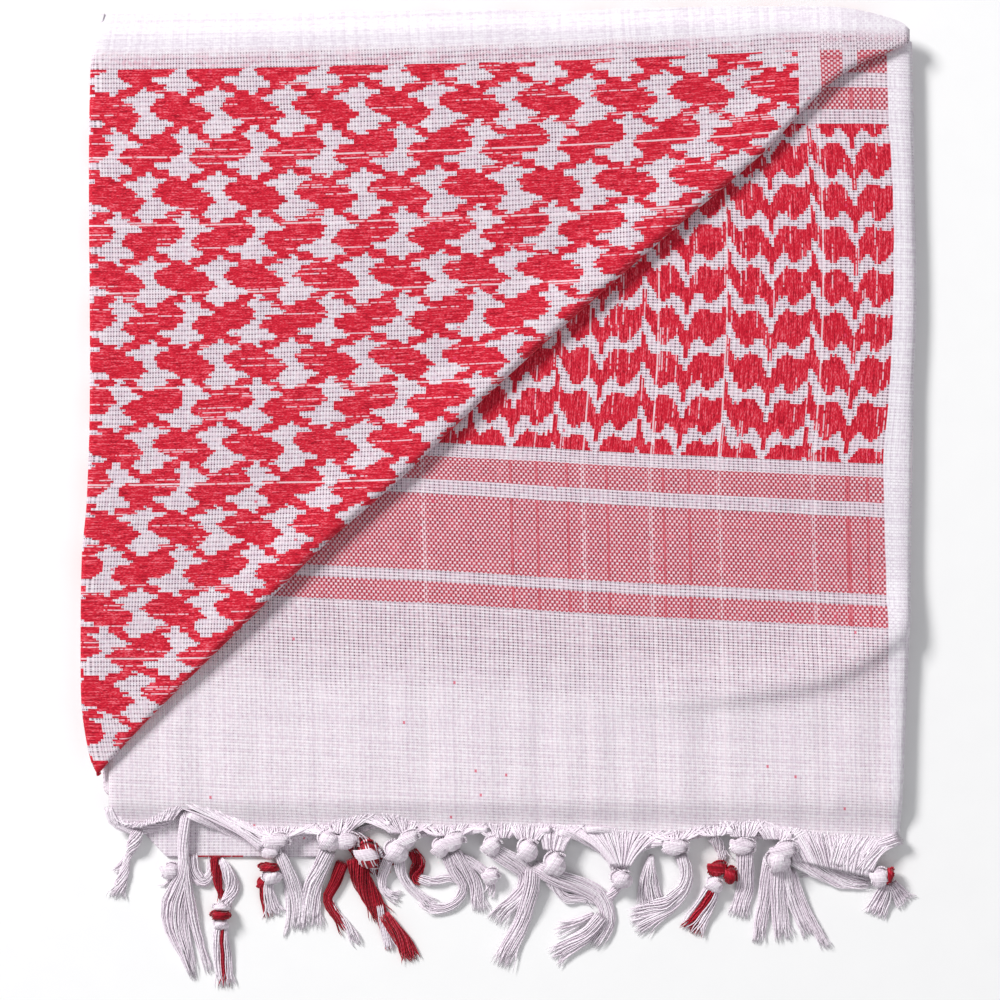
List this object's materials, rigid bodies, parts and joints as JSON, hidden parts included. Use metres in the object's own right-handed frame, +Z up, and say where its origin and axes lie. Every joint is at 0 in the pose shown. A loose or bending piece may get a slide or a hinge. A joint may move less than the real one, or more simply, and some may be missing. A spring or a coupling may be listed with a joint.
{
  "type": "folded keffiyeh headscarf",
  "caption": "Square woven cotton headscarf with red houndstooth and scallop patterns, folded flat with a corner turned back and a knotted fringe along its lower edge.",
  "frame": {"origin": "middle of the underside, on the surface that the folded scarf lies on", "axes": "+Z up out of the surface, +Y away from the fringed end, +X towards the selvedge of the end panel"},
  "size_m": [0.3733, 0.441, 0.0154],
  "materials": {
    "plain_weave": "matte",
    "scalloped_weave": "matte",
    "houndstooth_weave": "matte",
    "white_yarn": "matte",
    "red_white_yarn": "matte"
  },
  "bodies": {
    "root": {"folded_layers": "plain_weave", "end_panel": "scalloped_weave", "corner_flap": "houndstooth_weave", "lower_ply": "plain_weave", "tassel_01": "white_yarn", "tassel_02": "white_yarn", "tassel_03": "white_yarn", "tassel_04": "white_yarn", "tassel_05": "white_yarn", "tassel_06": "white_yarn", "tassel_07": "white_yarn", "tassel_08": "white_yarn", "tassel_09": "white_yarn", "tassel_10": "white_yarn", "tassel_11": "white_yarn", "tassel_12": "white_yarn", "tassel_13": "white_yarn", "tassel_14": "white_yarn", "tassel_15": "white_yarn", "tassel_16": "white_yarn", "tassel_17": "white_yarn", "tassel_18": "white_yarn", "tassel_19": "white_yarn", "tassel_20": "white_yarn", "lower_tassel_01": "white_yarn", "lower_tassel_02": "red_white_yarn", "lower_tassel_03": "red_white_yarn", "lower_tassel_04": "red_white_yarn", "lower_tassel_05": "red_white_yarn"}
  },
  "joints": []
}
